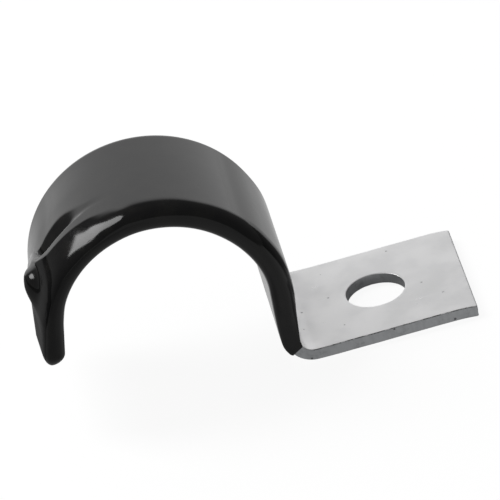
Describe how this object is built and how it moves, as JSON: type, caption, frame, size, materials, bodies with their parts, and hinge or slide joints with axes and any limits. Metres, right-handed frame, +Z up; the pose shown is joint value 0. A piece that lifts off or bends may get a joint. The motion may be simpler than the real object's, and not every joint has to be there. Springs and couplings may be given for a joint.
{
  "type": "p clip",
  "caption": "One-hole saddle clip: a folded zinc-plated steel strap with a black dip-moulded PVC sleeve, which holds a cable or hose bundle down to a surface.",
  "frame": {"origin": "middle of the fixing hole, on the underside of the foot", "axes": "+Z up out of the foot, +X towards the foot's free end, +Y along the bundle in the saddle"},
  "size_m": [0.0543, 0.0214, 0.0271],
  "materials": {
    "zinc_steel": "satin zinc plate with faint mottling and sheared edges",
    "black_pvc": "semi-gloss dip-moulded PVC with a run and a drip"
  },
  "bodies": {
    "root": {"steel_strap": "zinc_steel", "pvc_sleeve": "black_pvc"}
  },
  "joints": []
}
